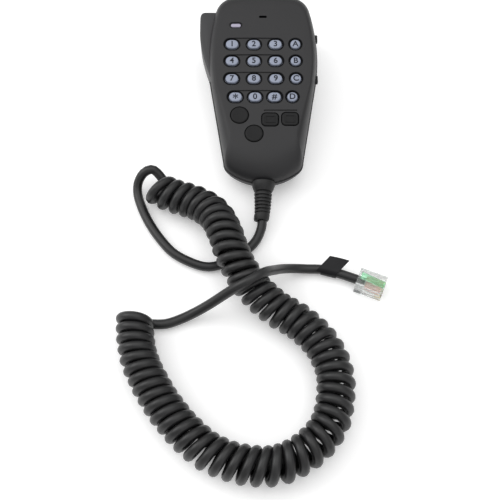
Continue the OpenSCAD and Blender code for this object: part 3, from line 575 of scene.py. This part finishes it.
legends = (("1", "2", "3", "a"), ("4", "5", "6", "b"), ("7", "8", "9", "c"), ("star", "0", "hash", "d"))
for row, names in enumerate(legends):
    for column, name in enumerate(names):
        x, y = column_x[column] * row_draw[row], row_y[row]
        l, w = (6.4, 4.9) if column < 3 else (5.0, 5.0)
        top = stadium(x, y, l - 0.3, w - 0.2, 0.22, flange_top, 0.0, 40)
        pillow(top, 0.5, 0.9, 0.14)
        flange = stadium(x, y, l + 1.4, w + 1.4, flange_top, flange_bottom)
        stem = stadium(x, y, stem_width, stem_width, flange_bottom, stem_end)
        key = joined("keytop_" + name, [top, flange, stem])
        key.data.materials.append(key_top)
        key.data.materials.append(ink)
        bpy.ops.object.shade_smooth_by_angle(angle=math.radians(40))
        seat(key)
        bpy.ops.object.text_add(location=(x, y + (-0.1 if name != "star" else -1.1), 0.365))
        text = bpy.context.object
        text.data.body = {"star": "*", "hash": "#"}.get(name, name.upper())
        text.data.size = 4.1 if name != "star" else 6.0
        text.data.align_x, text.data.align_y = "CENTER", "CENTER"
        text.data.offset = 0.085
        text.data.extrude = 0.02
        bpy.ops.object.convert(target="MESH")
        text.data.materials.clear()
        text.data.materials.append(key_top)
        text.data.materials.append(ink)
        for face in text.data.polygons:
            face.material_index = 1
        seat(text)
        joined("keytop_" + name, [key, text])
        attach(key, "key_" + name)
        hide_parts("key_" + name)


# The four function buttons: black rubber, flush with the face. Two are round and slightly dished; two are
# squarish, with a raised rounded frame moulded on top.
button_rubber = grained("button_rubber", (0.0055, 0.0055, 0.006), 0.6, 4200, 0.35, 0.1, 0.28)
for name, x, y in round_buttons:
    top = stadium(x, y, 8.5, 8.5, 0.45, flange_top, 0.0, 64)
    pillow(top, 0.7, 1.6, -0.22)
    button = joined("button_cap_" + name, [top, stadium(x, y, 9.9, 9.9, flange_top, flange_bottom, 0.0, 48),
                                           stadium(x, y, stem_width, stem_width, flange_bottom, stem_end)])
    button.data.materials.append(button_rubber)
    bpy.ops.object.shade_smooth_by_angle(angle=math.radians(40))
    seat(button)
    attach(button, "button_" + name)
    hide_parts("button_" + name)
for name, x, y in square_buttons:
    top = slab(x, y, 7.9, 6.7, 2.0, 0.4, flange_top)
    pillow(top, 0.6, 0.5, 0.0)
    only(top)
    bpy.ops.object.mode_set(mode="EDIT")
    bpy.ops.mesh.inset(thickness=0.35)
    bpy.ops.mesh.extrude_region_move(TRANSFORM_OT_translate={"value": (0, 0, 0.22)})
    bpy.ops.mesh.inset(thickness=0.45)
    bpy.ops.mesh.extrude_region_move(TRANSFORM_OT_translate={"value": (0, 0, -0.22)})
    bpy.ops.object.mode_set(mode="OBJECT")
    button = joined("button_cap_" + name, [top, slab(x, y, 7.9, 8.1, 2.0, flange_top, flange_bottom),
                                           stadium(x, y, stem_width, stem_width, flange_bottom, stem_end)])
    button.data.materials.append(button_rubber)
    bpy.ops.object.shade_smooth_by_angle(angle=math.radians(40))
    seat(button)
    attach(button, "button_" + name)
    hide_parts("button_" + name)


# The lamp's window: a pale acrylic light pipe pushed into its oval hole from behind. Its foot stands over
# the status lamp on the board, and its rounded top is flush with the face.
lens_acrylic = grained("lens_acrylic", (0.36, 0.335, 0.43), 0.22, 1500, 0.05, 0.05)
lens = stadium(*lamp_at, 5.0, 2.0, -0.1, -2.0, 0.0, 40)
pillow(lens, 0.35, 0.5, 0.06)
lens = joined("lens", [lens, stadium(*lamp_at, 6.2, 3.2, -2.0, -2.7), stadium(*lamp_at, 4.0, 1.6, -2.7, -4.9)])
lens.data.materials.append(lens_acrylic)
bpy.ops.object.shade_smooth_by_angle(angle=math.radians(40))
seat(lens)
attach(lens, "case")
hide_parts("lamp_window")


# The talk lever: one bar of near-black plastic along the left side. Its outer edge bows out from the foot,
# runs straight, and turns a rounded corner into the flat upper end; it turns on a barrel at the foot.
lever_plastic = grained("lever_plastic", (0.024, 0.024, 0.026), 0.46, 3600, 0.3, 0.08, 0.5)
bow = [(-26.4 - 5.2 * math.sin(math.radians(90 * f / 16)), 56.5 + 25 * f / 16) for f in range(17)]
lever_line = ([(-20.9, 92.5), (-22.9, 59.5), (-22.9, 55.5), (-25.4, 55.5)] + bow
              + [(-31.6, 86), (-31.6, 89.4), (-31.4, 90.7), (-30.9, 91.7), (-30.1, 92.3), (-28.9, 92.5)])
bpy.ops.mesh.primitive_circle_add(vertices=len(lever_line), fill_type="NGON")
lever = bpy.context.object
for vertex, (x, y) in zip(lever.data.vertices, lever_line):
    vertex.co = (x, y, -18.5)
bpy.ops.object.mode_set(mode="EDIT")
bpy.ops.mesh.select_all(action="SELECT")
bpy.ops.mesh.extrude_region_move(TRANSFORM_OT_translate={"value": (0, 0, 13)})
bpy.ops.mesh.select_all(action="SELECT")
bpy.ops.mesh.normals_make_consistent(inside=False)
bpy.ops.object.mode_set(mode="OBJECT")
edges = lever.modifiers.new("edges", "BEVEL")
edges.width = 1.3
edges.segments = 4
edges.limit_method = "ANGLE"
edges.angle_limit = math.radians(50)
bpy.ops.object.modifier_apply(modifier="edges")
barrel = stadium(-21.7, 59.5, 4, 4, -5.5, -18.5)
keeper = box_punch((-22.7, -21.5), (70.5, 77.5), (-19.7, -4.3))
finish_mesh(lever, 32)
lever = joined("talk_bar", [lever, barrel, keeper])
bpy.ops.object.transform_apply(location=True, rotation=True, scale=True)
bpy.ops.object.shade_smooth_by_angle(angle=math.radians(32))
lever.data.materials.clear()
lever.data.materials.append(lever_plastic)
seat(lever)
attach(lever, "talk_lever")
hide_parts("ptt_lever")


# The up and down keys at the head, of the same grey silicone as the keypad, and the two slide knobs on the
# right side, which lock the keys and switch the keypad's lamps.
for node, width, finish, slot in (("up_key", 0.6, key_top, "key_grey"), ("down_key", 0.6, key_top, "key_grey"),
                                  ("lock_slider", 0.35, button_rubber, "key_black"),
                                  ("lamp_slider", 0.35, button_rubber, "key_black")):
    piece = soften(node, width)
    piece.data.materials.append(finish)
    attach(piece, node)


# The strain relief: moulded black rubber with a flared root in the case, six ribs that let it flex, and a
# collar that grips the cable and leans a little to the left.
boot_rubber = grained("boot_rubber", (0.006, 0.006, 0.0065), 0.5, 3800, 0.35, 0.25, 0.4)
ribs, bore = 6, 2.27
profile = [(bore, -9.5), (4.4, -9.5), (4.4, -7.5), (3.4, -7.5), (3.4, -1.0),
           (5.5, -1.0), (5.5, 0.3), (5.2, 1.6), (4.7, 2.8), (4.4, 3.6)]
for i in range(ribs):
    z, r = 4 + i * 10 / ribs, 4.25 - 0.1 * i
    profile += [(r - 0.65, z), (r - 0.65, z + 0.55), (r - 0.1, z + 0.65),
                (r, z + 0.8), (r, z + 1.45), (r - 0.1, z + 1.6)]
profile += [(3.2, 14.0), (3.2, 14.3), (3.6, 14.5), (3.7, 15.2), (3.65, 17.0), (3.4, 17.8), (3.0, 18.0), (bore, 18.0)]


def leaning(r, z, angle):
    """A point on the strain relief, whose outer end leans to the left."""
    return r * math.cos(angle) - 0.012 * max(0, z - 11) ** 2, r * math.sin(angle), z


boot = loft("strain_relief", [[leaning(r, z, 2 * math.pi * k / 40) for k in range(40)] for r, z in profile])
finish_mesh(boot, 32)
boot.data.materials.append(boot_rubber)
seat(boot, case_place @ boot_turn)
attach(boot, "case")
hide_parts("cable_boot")


# The label on the cord, near the plug: black film wrapped round the cable and folded back on itself, so
# that its two ends stick together as a slanted flag.
film = grained("label_film", (0.004, 0.004, 0.005), 0.4, 900, 0.1, 0.25, 0.25)
wrap_place = (Matrix.Translation((0.0325, -0.0938, 0.0028)) @ Matrix.Rotation(math.atan2(-2.0, 7.0), 4, "Z")
              @ Matrix.Rotation(-math.atan2(0.2, 7.28), 4, "Y") @ Matrix.Scale(0.001, 4))
sleeve = loft("label", [
    [(x, r * math.cos(2 * math.pi * k / 40), r * math.sin(2 * math.pi * k / 40)) for k in range(40)]
    for r, x in ((2.28, -4.2), (2.55, -4.2), (2.6, -4.1), (2.6, 3.0), (2.55, 3.1), (2.28, 3.1))])
bpy.ops.mesh.primitive_grid_add(x_subdivisions=16, y_subdivisions=14, size=1)
flag = bpy.context.object
for vertex in flag.data.vertices:
    u, v = vertex.co.x + 0.5, vertex.co.y + 0.5
    y = 7.9 * v - 2.3
    lift = 0.25 * max(0, y) + 0.3 * v * math.sin(math.pi * u) - 0.24 * max(0, -y) ** 2
    vertex.co = (4.5 * v - 6.3 + 9.2 * u, y, 2.82 + lift)
only(flag)
film_fold = flag.modifiers.new("film", "SOLIDIFY")
film_fold.thickness = 0.32
film_fold.offset = 0
bpy.ops.object.modifier_apply(modifier="film")
label = joined("label", [sleeve, flag])
finish_mesh(label, 35)
label.data.materials.clear()
label.data.materials.append(film)
seat(label, wrap_place)
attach(label, "case")
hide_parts("cord_tag")


# The modular plug: a body and a latch moulded in clear polycarbonate, with a flat wire to each of six
# gold-plated contacts.
def clear(name, colour, roughness):
    """Clear moulded plastic with faint flow marks."""
    finish = bpy.data.materials.new(name)
    finish.use_nodes = True
    tree = finish.node_tree
    shader = tree.nodes["Principled BSDF"]
    shader.inputs["Transmission Weight"].default_value = 0.92
    shader.inputs["IOR"].default_value = 1.28
    place = tree.nodes.new("ShaderNodeTexCoord")
    flow = tree.nodes.new("ShaderNodeTexNoise")
    flow.inputs["Scale"].default_value = 350
    tree.links.new(place.outputs["Object"], flow.inputs["Vector"])
    tint = tree.nodes.new("ShaderNodeValToRGB")
    tint.color_ramp.elements[0].color = [c * 0.94 for c in colour] + [1]
    tint.color_ramp.elements[1].color = (*colour, 1)
    tree.links.new(flow.outputs["Fac"], tint.inputs["Fac"])
    tree.links.new(tint.outputs["Color"], shader.inputs["Base Color"])
    haze = tree.nodes.new("ShaderNodeMapRange")
    haze.inputs["To Min"].default_value = roughness * 0.5
    haze.inputs["To Max"].default_value = roughness * 1.5
    tree.links.new(flow.outputs["Fac"], haze.inputs["Value"])
    tree.links.new(haze.outputs["Result"], shader.inputs["Roughness"])
    return finish


clear_body = clear("clear_body", (0.97, 0.99, 0.98), 0.08)
clear_latch = clear("clear_latch", (0.55, 0.98, 0.68), 0.12)
plug = soften("plug_body", 0.3)
plug.name = "plug"
plug.data.materials.append(clear_body)
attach(plug, "case")
latch = soften("plug_latch", 0.2)
latch.name = "latch"
latch.data.materials.append(clear_latch)
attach(latch, "plug_latch")
nodes["plug_contacts"].data.materials.clear()
nodes["plug_contacts"].data.materials.append(plated("gold_plate", (0.9, 0.66, 0.28), 0.22))
nodes["plug_wires"].data.materials.clear()
nodes["plug_wires"].data.materials.append(grained("wire_pale", (0.80, 0.50, 0.46), 0.35, 1500, 0.1, 0.2))


# What is sealed in the case: the boards and what is soldered on them, the mat, the capsule in its boot,
# the switches, and the cable's end. These pieces keep their CAD shapes.
solder_mask = grained("solder_mask", (0.03, 0.15, 0.05), 0.3, 700, 0.3, 0.35)
black_epoxy = grained("black_epoxy", (0.016, 0.016, 0.017), 0.45, 2500, 0.3)
tin = plated("tin_sheet", (0.62, 0.62, 0.63), 0.3)
can = plated("capsule_can", (0.64, 0.64, 0.66), 0.25)
mat_silicone = grained("mat_silicone", (0.17, 0.18, 0.19), 0.6, 1800, 0.3, 0.1)
diffuser = grained("lamp_diffuser", (0.8, 0.82, 0.74), 0.3, 900, 0.1, 0.04)
nylon = grained("nylon", (0.76, 0.73, 0.64), 0.42, 1600, 0.15, 0.05)
red_wire = grained("wire_red", (0.5, 0.05, 0.04), 0.35, 1500, 0.1, 0.15)
for name, finish in (
        ("main_board", solder_mask), ("top_key_board", solder_mask), ("tone_chip", black_epoxy),
        ("top_key_switches", black_epoxy), ("ptt_switch", black_epoxy), ("lock_switch", tin), ("lamp_switch", tin),
        ("cable_clamp", tin), ("board_screws", zinc), ("ptt_pivot_pin", zinc), ("ptt_spring", zinc),
        ("mic_capsule", can), ("mic_boot", boot_rubber), ("mic_wires", red_wire), ("keypad_mat", mat_silicone),
        ("keypad_lamps", diffuser), ("status_lamp", diffuser), ("cable_plug_inside", nylon)):
    nodes[name].data.materials.clear()
    nodes[name].data.materials.append(finish)
